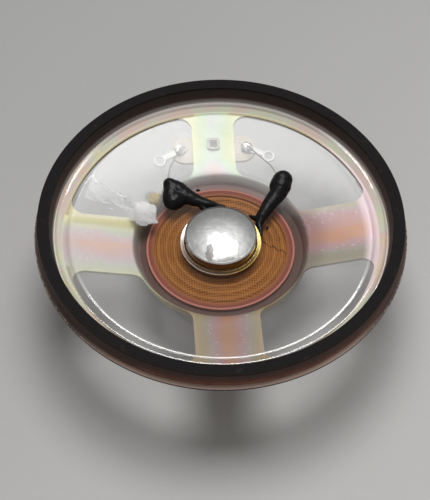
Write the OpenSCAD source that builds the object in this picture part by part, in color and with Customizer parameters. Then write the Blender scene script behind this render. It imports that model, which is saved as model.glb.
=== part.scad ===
// Mylar cone loudspeaker, 77 mm class, lying face up on its magnet pot.
// The origin is the middle of the pot's back. +Z is the front and +Y the terminal side.
// Sizes start from the voice coil and work outwards to the pot and the basket's seat,
// and from the flange inwards to the rim ring, the film's roll and the windows.

/* [Basket] */
// Outer diameter of the flange
flange_d = 77; // [74:0.5:84]
// Thickness of the pressed steel sheet
sheet_t = 0.7; // [0.5:0.1:0.9]
// Height of the flange's face above the pot's front face
basket_h = 9.9; // [9.5:0.1:12]
// Width of the flange
flange_w = 4.1; // [3.6:0.1:4.5]
// Width of the step between the flange and the dish
step_w = 1.4; // [1.2:0.1:1.8]
// Drop of that step
step_drop = 1.35; // [1:0.05:1.8]
// Depth of the dish from its outer to its inner edge
dish_depth = 3.45; // [3:0.05:3.8]
// Run of the two sloping walls inside the dish
wall_run = 0.9; // [0.8:0.1:1.2]
// Width of the leg that carries the terminal board
terminal_leg_w = 9.1; // [8:0.1:10]
// Width of the leg across from the terminals
front_leg_w = 13.6; // [12:0.2:16]
// Width of the two side legs
side_leg_w = 14.6; // [13:0.2:17]
// Rim left outside the four windows
window_rim_w = 0.5; // [0.4:0.1:1]
// Shoulder left inside the four windows
window_hub_w = 0.4; // [0.3:0.1:1]
// Corner radius of the windows
window_corner_r = 2.6; // [1.5:0.1:3]
// Width of the seat of the suspension disc
seat_w = 3.9; // [3.6:0.1:4.2]
// Height of that seat above the pot's front face
seat_h = 2.65; // [2.4:0.05:3]
// Space between the pot and the wall round it
hub_margin = 0.5; // [0.4:0.1:0.7]

/* [Rim ring] */
// Flange left outside the rim ring
ring_margin = 0.75; // [0.5:0.05:1]
// Width of the rim ring's front face
ring_face_w = 2.45; // [2:0.05:2.7]
// Width of the rim ring at its foot
ring_foot_w = 3.15; // [2.9:0.05:3.3]
// Height of the rim ring with its facing
ring_h = 3.85; // [3:0.05:5]
// Thickness of the black facing on the rim ring
facing_t = 0.5; // [0.3:0.05:0.8]

/* [Diaphragm] */
// Thickness of the clear film
film_t = 0.15; // [0.1:0.01:0.2]
// Width of the film clamped under the rim ring
film_clamp_w = 2.6; // [2:0.1:2.9]
// Width of the roll between the rim ring and the cone
roll_w = 3.2; // [2.8:0.1:3.4]
// Distance of the roll's crest from the rim ring
crest_in = 1.1; // [0.9:0.1:1.6]
// Height of the roll above the clamped film
roll_h = 1.5; // [1:0.05:1.7]
// Depth of the cone's outer edge below the clamped film
cone_drop = 0.25; // [0:0.05:0.4]
// Depth of the cone from its outer edge to the collar
cone_depth = 4.5; // [4.2:0.1:4.6]
// Width of the cone's lip under the collar
cone_lip_w = 0.6; // [0.4:0.05:0.7]

/* [Dome and voice coil] */
// Bore of the voice coil former
former_bore_d = 13.6; // [13.2:0.1:14.4]
// Wall of the voice coil former
former_t = 0.15; // [0.1:0.01:0.2]
// Length of the wire winding
winding_h = 4; // [3:0.1:5]
// Thickness of the wire winding
winding_t = 0.28; // [0.2:0.01:0.4]
// Width of the shoulder on which the dust cap sits
shoulder_w = 0.45; // [0.4:0.05:0.6]
// Height of the dust cap
cap_h = 1.3; // [1:0.1:2.6]
// Thickness of the dust cap
cap_t = 0.2; // [0.15:0.05:0.3]
// Width of the dust cap's flat lip
cap_lip_w = 0.45; // [0.4:0.05:0.6]
// How far the amber collar flares outside the dust cap
collar_flare = 1.1; // [0.9:0.05:1.3]
// Height of the amber collar
collar_h = 2.4; // [2.2:0.1:2.8]

/* [Suspension disc] */
// Part of the seat left outside the suspension disc
disc_margin = 1.7; // [1.4:0.1:1.9]
// Thickness of its woven cloth
disc_t = 0.3; // [0.2:0.05:0.4]
// Width of its flat outer edge
disc_edge_w = 1.7; // [1.5:0.1:1.9]
// Height of its corrugations from crest to trough
wave_h = 0.5; // [0.3:0.1:0.8]
// Number of its corrugations
waves = 4; // [3:1:5]
// Thickness of the board ring glued on its edge
edge_ring_t = 0.4; // [0.3:0.05:0.6]

/* [Magnet pot] */
// Height of the pot
pot_h = 10.6; // [9.6:0.1:12]
// Wall of the pot
pot_wall = 2; // [1.6:0.1:2.2]
// Floor of the pot
pot_floor = 2.2; // [1.8:0.1:2.6]
// Chamfer on the pot's back edge
pot_chamfer = 0.6; // [0.3:0.1:0.8]
// Thickness of the two pole pieces
pole_t = 2; // [1.8:0.1:2.4]
// Air between a pole piece and the voice coil
air_gap = 0.3; // [0.25:0.05:0.4]
// Width of the ring-shaped pole piece
plate_w = 2.45; // [2.3:0.05:3]
// How far the magnet lies inside the round pole piece's edge
magnet_margin = 0.3; // [0.1:0.05:0.6]
// Number of stakes that hold the basket on the pot
stakes = 4; // [3:1:8]
// Shank diameter of a stake
stake_d = 1; // [0.8:0.1:1.1]
// Head diameter of a stake
stake_head_d = 1.6; // [1.4:0.1:1.7]

/* [Terminals] */
// Distance of the terminal board's middle from the dish's outer edge
board_in = 8.3; // [7.8:0.1:8.6]
// Length of the terminal board
board_l = 18.6; // [17.5:0.1:20]
// Width of the terminal board
board_w = 6.2; // [5.8:0.1:7]
// Thickness of the terminal board
board_t = 0.9; // [0.7:0.1:1.2]
// How far the clinched rivet lies outside the board's middle
rivet_out = 0.8; // [0:0.1:0.9]
// Width of the clinched rivet's head
rivet_w = 2.8; // [2.4:0.1:3.2]
// Diameter of the clinched rivet's shank
rivet_d = 1.8; // [1.6:0.1:2]
// Distance of each solder joint from the leg's middle
solder_x = 7.3; // [7.1:0.1:7.6]
// Diameter of a solder joint
solder_d = 2.6; // [2.2:0.1:2.9]
// Height of a solder joint
solder_h = 0.8; // [0.5:0.1:1]
// Thickness of a tinned lug
lug_t = 0.3; // [0.2:0.05:0.4]
// Outer diameter of a lug's eye
lug_eye_d = 2.9; // [2.6:0.1:3.2]
// Hole in a lug's eye
lug_hole_d = 1.6; // [1.2:0.1:1.8]
// Length of a lug from its solder joint to its eye
lug_l = 5.1; // [4.8:0.1:5.6]
// Angle of a lug towards the hub in degrees
lug_turn = 27; // [20:1:32]
// Diameter of a lead wire
lead_d = 0.4; // [0.3:0.05:0.5]

/* [Hidden] */

// Clearances: pieces glued or pressed together, the two parts of the film, a shank in its hole
seat_gap = 0.02;
film_gap = 0.1;
shank_gap = 0.02;

// Steps round a large and a small circle, and how far a cutter runs past a face
round_fn = 96;
small_fn = 32;
over = 1;

// Bend radii on the sheet's face: over a ridge, where its back must stay round too, and in a valley
ridge_bend_r = sheet_t + 0.1;
valley_bend_r = 0.5;

// Radii from the voice coil outwards
former_r = former_bore_d / 2 + former_t;
winding_r = former_r + seat_gap + winding_t;
pole_r = former_bore_d / 2 - air_gap;
plate_in_r = winding_r + air_gap;
plate_out_r = plate_in_r + plate_w;
pot_r = plate_out_r + pot_wall;
stake_r = (plate_in_r + plate_out_r) / 2;
hub_wall_r = pot_r + hub_margin;
hub_hole_r = plate_in_r + air_gap;
seat_in_r = hub_wall_r + wall_run;
seat_out_r = seat_in_r + seat_w;
dish_in_r = seat_out_r + wall_run;
disc_r = seat_out_r - disc_margin;
cap_r = former_r + shoulder_w;
collar_r = cap_r + collar_flare;
cone_hole_r = collar_r - cone_lip_w;

// Radii from the flange inwards
flange_r = flange_d / 2;
flange_in_r = flange_r - flange_w;
dish_out_r = flange_in_r - step_w;
ring_r = flange_r - ring_margin;
ring_in_r = ring_r - ring_face_w;
ring_foot_r = ring_r - ring_foot_w;
roll_in_r = ring_foot_r - roll_w;
crest_r = ring_foot_r - crest_in;
board_y = dish_out_r - board_in;
window_out_r = dish_out_r - window_rim_w;
window_in_r = dish_in_r + window_hub_w;

// Heights from the pot's back forwards
plate_z = pot_h - pole_t;
winding_z = pot_h - pole_t / 2 - winding_h / 2;
hub_z = pot_h + sheet_t;
seat_z = pot_h + seat_h;
flange_z = pot_h + basket_h;
dish_out_z = flange_z - step_drop;
dish_in_z = dish_out_z - dish_depth;
ring_z = flange_z + film_t;
front_z = ring_z + ring_h;
cone_out_z = ring_z - cone_drop;
collar_z = cone_out_z - cone_depth;
former_top_z = collar_z + collar_h;

// Slopes of the dish and of the cone, and their heights at a distance r from the axis
dish_slope = atan(dish_depth / (dish_out_r - dish_in_r));
cone_slope = atan(cone_depth / (roll_in_r - collar_r));
function dish_z(r) = dish_out_z - (dish_out_r - r) * tan(dish_slope);
function cone_z(r) = cone_out_z - (roll_in_r - r) * tan(cone_slope);

function unit(v) = v / norm(v);
function reverse(list) = [for (i = [len(list) - 1:-1:0]) list[i]];
function arc(c, r, a0, a1, n) =
    [for (i = [0:n]) c + r * [cos(a0 + (a1 - a0) * i / n), sin(a0 + (a1 - a0) * i / n)]];

// The shorter way round from angle a to angle b
function turn(a, b) = let (d = b - a) d > 180 ? d - 360 : d < -180 ? d + 360 : d;

// A corner at b between a and c, rounded with radius r by n steps
function bend(a, b, c, r, n) = let (
    u = unit(a - b), v = unit(c - b), half = acos(u * v) / 2,
    m = b + unit(u + v) * r / sin(half),
    s = b + u * r / tan(half), e = b + v * r / tan(half),
    a0 = atan2(s.y - m.y, s.x - m.x), a1 = atan2(e.y - m.y, e.x - m.x))
    arc(m, r, a0, a0 + turn(a0, a1), n);

// A path through points [x, y, corner radius]
function path(p, n = 4) = let (q = [for (i = p) [i[0], i[1]]], last = len(p) - 1) concat(
    [q[0]], [for (i = [1:last - 1], s = bend(q[i - 1], q[i], q[i + 1], p[i][2], n)) s], [q[last]]);

// The outline of a sheet of thickness t that lies on the left of a path, or right if t is negative
function side(v) = [-v.y, v.x];
function beside(p, t) = [for (i = [0:len(p) - 1]) let (
    a = side(unit(p[max(i, 1)] - p[max(i, 1) - 1])),
    b = side(unit(p[min(i + 1, len(p) - 1)] - p[min(i, len(p) - 2)])))
    p[i] + (a + b) * t / (1 + a * b)];
function sheet(p, t) = concat(p, reverse(beside(p, t)));

module turned(p) rotate_extrude($fn = round_fn) polygon(p);
module disc(r, h) cylinder(h = h, r = r, $fn = round_fn);
module post(d, h) cylinder(h = h, d = d, $fn = small_fn);
module tube(r_out, r_in, h) difference() {
    disc(r_out, h);
    translate([0, 0, -over]) disc(r_in, h + 2 * over);
}

// One window between a leg edge at x = a and a leg edge at y = b, with rounded corners
function window(a, b) = let (
    r = window_corner_r, ro = window_out_r, ri = window_in_r,
    y1 = sqrt((ri + r) ^ 2 - (a + r) ^ 2), y2 = sqrt((ro - r) ^ 2 - (a + r) ^ 2),
    x3 = sqrt((ro - r) ^ 2 - (b + r) ^ 2), x4 = sqrt((ri + r) ^ 2 - (b + r) ^ 2),
    t1 = atan2(y1, a + r), t2 = atan2(y2, a + r), t3 = atan2(b + r, x3), t4 = atan2(b + r, x4))
    concat(arc([a + r, y1], r, 180 + t1, 180, 6), arc([a + r, y2], r, 180, t2, 6),
        arc([0, 0], ro, t2, t3, 16), arc([x3, b + r], r, t3, -90, 6),
        arc([x4, b + r], r, -90, t4 - 180, 6), arc([0, 0], ri, t4, t1, 8));

module windows() {
    terminal_side = terminal_leg_w / 2;
    front_side = front_leg_w / 2;
    quadrants = [[1, 1, terminal_side], [-1, 1, terminal_side],
        [1, -1, front_side], [-1, -1, front_side]];
    for (q = quadrants) scale([q[0], q[1], 1])
        linear_extrude(height = front_z) polygon(window(q[2], side_leg_w / 2));
}

module on_stakes() for (i = [0:stakes - 1]) rotate([0, 0, 45 + i * 360 / stakes])
    translate([stake_r, 0, 0]) children();

// The terminal board's own frame: under the leg and along its slope, at the board's middle
module on_board() translate([0, board_y, dish_z(board_y) - (sheet_t + seat_gap) / cos(dish_slope)])
    rotate([dish_slope, 0, 0]) children();

module on_rivet() on_board() translate([0, rivet_out, 0]) children();

module basket() color([0.66, 0.66, 0.6]) difference() {
    turned(sheet(path([
        [flange_r, flange_z], [flange_in_r, flange_z, ridge_bend_r],
        [dish_out_r, dish_out_z, valley_bend_r], [dish_in_r, dish_in_z, ridge_bend_r],
        [seat_out_r, seat_z, valley_bend_r], [seat_in_r, seat_z, ridge_bend_r],
        [hub_wall_r, hub_z, valley_bend_r], [hub_hole_r, hub_z]]), sheet_t));
    windows();
    on_stakes() translate([0, 0, pot_h - over]) post(stake_d + 2 * shank_gap, sheet_t + 2 * over);
    on_rivet() translate([0, 0, -over]) post(rivet_d + 2 * shank_gap, sheet_t + 3 * over);
}

stake_head_h = 0.3;
module basket_stakes() color([0.6, 0.6, 0.58]) on_stakes() {
    translate([0, 0, pot_h - pole_t / 2]) post(stake_d, pole_t / 2 + sheet_t + seat_gap);
    translate([0, 0, hub_z + seat_gap]) cylinder(
        h = stake_head_h, d1 = stake_head_d, d2 = stake_d, $fn = small_fn);
}

// The cup's ledge carries the ring-shaped pole piece
ledge_w = 0.6;
module yoke_cup() color([0.72, 0.72, 0.7]) turned([[0, 0], [pot_r - pot_chamfer, 0],
    [pot_r, pot_chamfer], [pot_r, pot_h], [plate_out_r, pot_h], [plate_out_r, plate_z],
    [plate_out_r - ledge_w, plate_z], [plate_out_r - ledge_w, pot_floor], [0, pot_floor]]);

module magnet() color([0.3, 0.3, 0.32]) translate([0, 0, pot_floor])
    disc(pole_r - magnet_margin, plate_z - pot_floor);

module pole_plate() color([0.72, 0.72, 0.7]) translate([0, 0, plate_z]) disc(pole_r, pole_t);

module top_plate() color([0.75, 0.75, 0.72]) difference() {
    translate([0, 0, plate_z]) tube(plate_out_r - seat_gap, plate_in_r, pole_t);
    on_stakes() translate([0, 0, pot_h - pole_t / 2]) post(stake_d + 2 * shank_gap, pole_t);
}

module rim_ring() color([0.3, 0.13, 0.09]) turned([[ring_r, ring_z], [ring_r, front_z - facing_t],
    [ring_in_r, front_z - facing_t], [ring_foot_r, ring_z]]);

module rim_facing() color([0.1, 0.1, 0.1]) translate([0, 0, front_z - facing_t])
    tube(ring_r, ring_in_r, facing_t);

// The film's underside from its clamped edge, up over the roll, to the cone's outer edge
function film_path() = let (foot_r = ring_foot_r - film_t - seat_gap, n = 14)
    concat([[ring_foot_r + film_clamp_w, flange_z]],
        [for (i = [0:n]) let (a = 180 * i / n, run = a < 90 ? foot_r - crest_r : crest_r - roll_in_r)
            [crest_r + run * cos(a), flange_z + roll_h * sin(a) - cone_drop * (1 - cos(a)) / 2]]);

module surround() color([0.85, 0.87, 0.86, 0.5]) turned(sheet(film_path(), -film_t));

module cone() color([0.85, 0.87, 0.86, 0.4]) {
    edge_r = roll_in_r - film_t - film_gap;
    turned([[edge_r, cone_z(edge_r)], [edge_r, cone_z(edge_r) - film_t],
        [cone_hole_r, cone_z(cone_hole_r) - film_t], [cone_hole_r, cone_z(cone_hole_r)]]);
}

// The flared top of the former: the cap sits on its neck, and its foot lies on the cone
foot_t = 0.25;
foot_bend_r = 0.6;
function foot_z(r) = cone_z(r) + seat_gap + foot_t;
module collar() color([0.85, 0.6, 0.2]) turned(concat(
    [[former_r + seat_gap, former_top_z]],
    path([[cap_r, former_top_z], [cap_r, foot_z(cap_r), foot_bend_r],
        [collar_r, foot_z(collar_r)]], 6),
    [[collar_r, collar_z + seat_gap],
        [former_r + seat_gap, cone_z(former_r + seat_gap) + seat_gap]]));

module dust_cap() color([0.8, 0.8, 0.8]) {
    edge_r = cap_r - cap_lip_w;
    ball_r = (edge_r ^ 2 + cap_h ^ 2) / (2 * cap_h);
    edge_a = asin(edge_r / ball_r);
    translate([0, 0, former_top_z]) turned(concat([[cap_r, 0], [cap_r, cap_t]],
        arc([0, cap_h + cap_t - ball_r], ball_r, 90 - edge_a, 90, 12),
        reverse(arc([0, cap_h - ball_r], ball_r, 90 - edge_a, 90, 12))));
}

module coil_former() color([0.75, 0.5, 0.2]) translate([0, 0, winding_z])
    tube(former_r, former_bore_d / 2, former_top_z - winding_z);

module coil_winding() color([0.7, 0.35, 0.15]) translate([0, 0, winding_z])
    tube(winding_r, former_r + seat_gap, winding_h);

// The face of the corrugated cloth, a cosine wave from the flat edge in to the former
function disc_face() = let (
    edge_r = disc_r - disc_edge_w, n = 12 * waves, top = seat_z + disc_t)
    concat([[disc_r, top]], [for (i = [0:n]) [
        edge_r + (former_r + seat_gap - edge_r) * i / n,
        top + wave_h / 2 * (1 - cos(360 * waves * i / n))]]);

module suspension_disc() color([0.65, 0.42, 0.22]) turned(sheet(disc_face(), disc_t));

module disc_edge_ring() color([0.5, 0.28, 0.28])
    translate([0, 0, seat_z + disc_t]) tube(disc_r, disc_r - disc_edge_w, edge_ring_t);

module terminal_board() color([0.72, 0.62, 0.5]) on_board() difference() {
    straight = board_l - board_w;
    translate([0, 0, -board_t]) union() {
        for (s = [-1, 1]) translate([s * straight / 2, 0, 0]) disc(board_w / 2, board_t);
        translate([-straight / 2, -board_w / 2, 0]) cube([straight, board_w, board_t]);
    }
    translate([0, rivet_out, -board_t - over])
        post(rivet_d + 2 * shank_gap, board_t + 2 * over);
    for (s = [-1, 1]) translate([s * solder_x, 0, -board_t - over])
        post(lug_hole_d, board_t + 2 * over);
}

// A square plate with rounded corners, centred on its foot
module pad(w, h) {
    r = w / 4;
    for (x = [-1, 1], y = [-1, 1]) translate([x * (w / 2 - r), y * (w / 2 - r), 0])
        post(2 * r, h);
    for (a = [0, 90]) rotate([0, 0, a]) translate([-w / 2, -w / 2 + r, 0])
        cube([w, w - 2 * r, h]);
}

// The rivet's square head lies on the leg, and its round foot is upset under the board
rivet_head_h = 0.4;
rivet_foot_h = 0.4;
rivet_foot_w = 0.45;
module board_rivet() color([0.7, 0.7, 0.62]) on_rivet() {
    bowl_rise = (rivet_w / 2) ^ 2 / (2 * board_y) * tan(dish_slope);
    head_z = sheet_t + 2 * seat_gap + bowl_rise;
    foot_z = -board_t - rivet_foot_h - seat_gap;
    translate([0, 0, foot_z]) post(rivet_d + 2 * rivet_foot_w, rivet_foot_h);
    translate([0, 0, foot_z]) post(rivet_d, head_z + rivet_head_h / 2 - foot_z);
    translate([0, 0, head_z]) difference() {
        pad(rivet_w, rivet_head_h);
        translate([0, 0, rivet_head_h / 2]) pad(rivet_w / 2, over);
    }
}

// A tinned lug on the board: a strap from the solder joint to an eye past the board's end
module lug(s) color([0.8, 0.8, 0.78]) on_board() translate([s * solder_x, 0, seat_gap])
    rotate([0, 0, s * -lug_turn]) difference() {
        union() {
            post(solder_d, lug_t);
            translate([s * lug_l, 0, 0]) post(lug_eye_d, lug_t);
            translate([s < 0 ? -lug_l : 0, -lug_eye_d / 4, 0])
                cube([lug_l, lug_eye_d / 2, lug_t]);
        }
        translate([s * lug_l, 0, -over]) post(lug_hole_d, lug_t + 2 * over);
    }
module lug_left() lug(-1);
module lug_right() lug(1);

// A domed solder joint on the lug
module solder(s) color([0.78, 0.78, 0.76]) on_board()
    translate([s * solder_x, 0, lug_t + 2 * seat_gap]) rotate_extrude($fn = small_fn)
        polygon(concat([[0, 0]], [for (a = [0:15:90]) [solder_d / 2 * cos(a), solder_h * sin(a)]]));
module solder_left() solder(-1);
module solder_right() solder(1);

// A tube of diameter d swept along a route with eight sides
function sweep_ring(p, q, d) = let (
    t = unit(q), u = unit(cross(t, [0, 0, 1])), v = cross(u, t))
    [for (i = [0:7]) p + d / 2 * (u * cos(45 * i) + v * sin(45 * i))];
module wire(p, d) {
    last = len(p) - 1;
    points = [for (i = [0:last],
        k = sweep_ring(p[i], p[min(i + 1, last)] - p[max(i - 1, 0)], d)) k];
    walls = [for (i = [0:last - 1], k = [0:7])
        [8 * i + k, 8 * i + (k + 1) % 8, 8 * i + 8 + (k + 1) % 8, 8 * i + 8 + k]];
    ends = [[for (k = [7:-1:0]) k], [for (k = [0:7]) 8 * last + k]];
    polyhedron(points, concat(ends, walls));
}

// A lead's points on its way from the solder joint to the glue's outer blob:
// [share of the way, bow away from the terminal leg, depth below the film], in lead diameters
left_route = [[0.11, 0.1, 2], [0.25, 0.8, 1.5], [0.42, 1.8, 1], [0.57, 2.4, 0.75],
    [0.7, 2.4, 0.75], [0.82, 1.9, 0.75], [0.92, 1, 0.85]];
right_route = [[0.1, 0, 2], [0.25, 0, 1.25], [0.4, 0.5, 1], [0.55, 1, 0.85],
    [0.68, 1, 0.85], [0.79, 0.3, 1], [0.88, -0.4, 1]];

// A lead starts on top of its solder joint, on the side towards the hub
module lead(s, route, blob) color([0.7, 0.7, 0.68]) {
    start_z = dish_z(board_y) - (sheet_t + seat_gap) / cos(dish_slope)
        + (lug_t + 3 * seat_gap + solder_h) * cos(dish_slope) + lead_d / 2;
    start = [s * solder_x, board_y - solder_d / 5];
    end = blob_r(blob) * [cos(blob[0]), sin(blob[0])];
    bow = -s * lead_d * side(unit(end - start));
    wire(concat([[start.x, start.y, start_z]], [for (k = route)
        let (p = start + k[0] * (end - start) - k[1] * bow)
        [p.x, p.y, cone_z(norm(p)) - film_t - k[2] * lead_d]]), lead_d);
}
module lead_left() lead(-1, left_route, left_blobs[0]);
module lead_right() lead(1, right_route, right_blobs[0]);

// Blobs of glue on the cone: [angle from +X, distance from the axis, radius], in collar radii
left_blobs = [[123.1, 2.09, 0.15], [120.8, 1.95, 0.22], [117.1, 1.64, 0.2], [110.8, 1.37, 0.16],
    [101.6, 1.21, 0.13], [89.3, 1.12, 0.08], [80, 1.11, 0.03]];
left_drop = [130.3, 1.64, 0.26];
right_blobs = [[45.5, 2.38, 0.24], [41, 2.13, 0.25], [37.9, 1.79, 0.21], [35.2, 1.47, 0.18],
    [31.3, 1.23, 0.15], [23.3, 1.09, 0.08], [9.6, 1.04, 0.035]];
function blob_r(b) = collar_r * b[1];

// A blob is a ball sunk into the cone by this share of its radius, and only its top is kept
blob_sink = 0.25;
module blob(b) rotate([0, 0, b[0]])
    translate([blob_r(b), 0, cone_z(blob_r(b)) - blob_sink * collar_r * b[2]])
        scale(collar_r * b[2]) sphere(r = 1, $fn = 18);
module above_film() {
    bend_r = cap_r + foot_bend_r;
    turned([[0, former_top_z], [cap_r + seat_gap, former_top_z],
        [cap_r + seat_gap, foot_z(cap_r) + foot_bend_r], [bend_r, foot_z(bend_r) + seat_gap],
        [collar_r + seat_gap, foot_z(collar_r) + seat_gap],
        [collar_r + seat_gap, collar_z + seat_gap],
        [roll_in_r, cone_out_z + seat_gap], [roll_in_r, front_z], [0, front_z]]);
}
module glue_run(blobs) intersection() {
    for (i = [0:len(blobs) - 2]) hull() {
        blob(blobs[i]);
        blob(blobs[i + 1]);
    }
    above_film();
}
module glue_left() color([0.06, 0.06, 0.07]) {
    glue_run(left_blobs);
    intersection() {
        blob(left_drop);
        above_film();
    }
}
module glue_right() color([0.06, 0.06, 0.07]) glue_run(right_blobs);

// A dried drop of amber adhesive on the shoulder of the dish
dab_turn = 136;
dab_r = 1.2;
dab_sink = 0.3;
module adhesive_dab() color([0.75, 0.6, 0.25]) intersection() {
    rotate([0, 0, dab_turn]) translate([dish_in_r - dab_sink, 0, dish_in_z - dab_sink])
        sphere(r = dab_r, $fn = 24);
    turned([[seat_out_r, front_z], [dish_in_r - wall_run, dish_in_z + seat_gap],
        [window_in_r, dish_z(window_in_r) + seat_gap], [window_in_r, front_z]]);
}

basket();
basket_stakes();
yoke_cup();
magnet();
pole_plate();
top_plate();
rim_ring();
rim_facing();
surround();
cone();
collar();
dust_cap();
coil_former();
coil_winding();
suspension_disc();
disc_edge_ring();
terminal_board();
board_rivet();
lug_left();
lug_right();
solder_left();
solder_right();
lead_left();
lead_right();
glue_left();
glue_right();
adhesive_dab();
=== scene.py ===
import math

import bpy
from mathutils import Matrix, Vector


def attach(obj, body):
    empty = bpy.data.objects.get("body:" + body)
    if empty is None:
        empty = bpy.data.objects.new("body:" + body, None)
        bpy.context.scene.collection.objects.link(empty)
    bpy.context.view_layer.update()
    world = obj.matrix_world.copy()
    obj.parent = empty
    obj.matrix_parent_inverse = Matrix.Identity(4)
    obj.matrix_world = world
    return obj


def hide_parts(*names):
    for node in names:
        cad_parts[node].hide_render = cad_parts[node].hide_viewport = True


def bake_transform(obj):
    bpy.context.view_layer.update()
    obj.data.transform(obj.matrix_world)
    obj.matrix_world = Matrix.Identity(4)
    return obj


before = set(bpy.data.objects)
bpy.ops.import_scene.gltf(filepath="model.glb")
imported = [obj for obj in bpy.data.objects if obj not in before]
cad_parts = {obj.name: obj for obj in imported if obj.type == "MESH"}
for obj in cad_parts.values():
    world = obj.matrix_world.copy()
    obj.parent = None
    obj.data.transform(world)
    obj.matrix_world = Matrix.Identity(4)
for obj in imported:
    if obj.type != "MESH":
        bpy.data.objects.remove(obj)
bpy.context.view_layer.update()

# Camera
# It looks down at the speaker from the front at 54 degrees, as the photograph does.
# All sizes below are in millimetres, and MM turns them into Blender's metres.
MM = 0.001
scene = bpy.context.scene
scene.view_settings.view_transform = "Standard"
eye = Vector((-16.73, -203.46, 296.39)) * MM
aim = Vector((-1.78, -8.07, 24.5)) * MM
camera_roll = math.radians(1.004)
lens = bpy.data.cameras.new("camera")
lens.lens = 119.39
lens.sensor_width = 36
lens.clip_start = 0.05
camera = bpy.data.objects.new("camera", lens)
scene.collection.objects.link(camera)


def looking(place, way):
    """A place that looks along this way."""
    return Matrix.Translation(place) @ way.to_track_quat("-Z", "Y").to_matrix().to_4x4()


camera.matrix_world = looking(eye, aim - eye) @ Matrix.Rotation(camera_roll, 4, "Z")
scene.camera = camera

# Light and table
# One round soft light hangs above the speaker, tilted to the back and a little to the right.
# The table is a pale grey top with a faint unevenness and painted light that grows towards the
# front right, and the room is a dim grey.
LIGHT_WAY = Vector((0.06, 0.28, 0.958)).normalized()
LIGHT_FAR = 1.0
LIGHT_RADIUS = LIGHT_FAR * math.tan(math.radians(17.8))
LIGHT_WHITE = 7.7
ROOM_GREY = 0.30
TABLE_GREY = 0.41
TABLE_WIDTH = 6.0

lamp = bpy.data.lights.new("soft_light", "AREA")
lamp.shape = "DISK"
lamp.size = 2 * LIGHT_RADIUS
lamp.energy = LIGHT_WHITE * math.pi * math.pi * LIGHT_RADIUS**2
soft_light = bpy.data.objects.new("soft_light", lamp)
scene.collection.objects.link(soft_light)
soft_light.matrix_world = looking(LIGHT_WAY * LIGHT_FAR, -LIGHT_WAY)
soft_light.visible_camera = False

room = bpy.data.worlds.new("room")
room.use_nodes = True
scene.world = room
room_nodes = room.node_tree.nodes
room_links = room.node_tree.links
room_nodes.clear()
seen = room_nodes.new("ShaderNodeLightPath")
either = room_nodes.new("ShaderNodeMixShader")
room_out = room_nodes.new("ShaderNodeOutputWorld")
room_links.new(seen.outputs["Is Camera Ray"], either.inputs[0])
for level, socket in ((ROOM_GREY, 1), (TABLE_GREY, 2)):
    wall = room_nodes.new("ShaderNodeBackground")
    wall.inputs["Color"].default_value = (level, level, level, 1)
    room_links.new(wall.outputs[0], either.inputs[socket])
room_links.new(either.outputs[0], room_out.inputs[0])


class Signal:
    """A socket in a sum: each operator adds its Math node."""

    def __init__(self, finish, socket):
        self.finish = finish
        self.socket = socket

    def maths(self, operation, *values):
        return self.finish.node("ShaderNodeMath", {"operation": operation}, dict(enumerate(values)))

    def __add__(self, other):
        return self.maths("ADD", self, other)

    def __radd__(self, other):
        return self.maths("ADD", other, self)

    def __sub__(self, other):
        return self.maths("SUBTRACT", self, other)

    def __rsub__(self, other):
        return self.maths("SUBTRACT", other, self)

    def __mul__(self, other):
        return self.maths("MULTIPLY", self, other)

    def __rmul__(self, other):
        return self.maths("MULTIPLY", other, self)

    def __truediv__(self, other):
        return self.maths("DIVIDE", self, other)

    def __pow__(self, other):
        return self.maths("POWER", self, other)

    def __neg__(self):
        return self.maths("MULTIPLY", self, -1)

    def __abs__(self):
        return self.maths("ABSOLUTE", self)

    def most(self, other):
        return self.maths("MAXIMUM", self, other)

    def least(self, other):
        return self.maths("MINIMUM", self, other)

    def wave(self):
        return self.maths("SINE", self)


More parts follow.
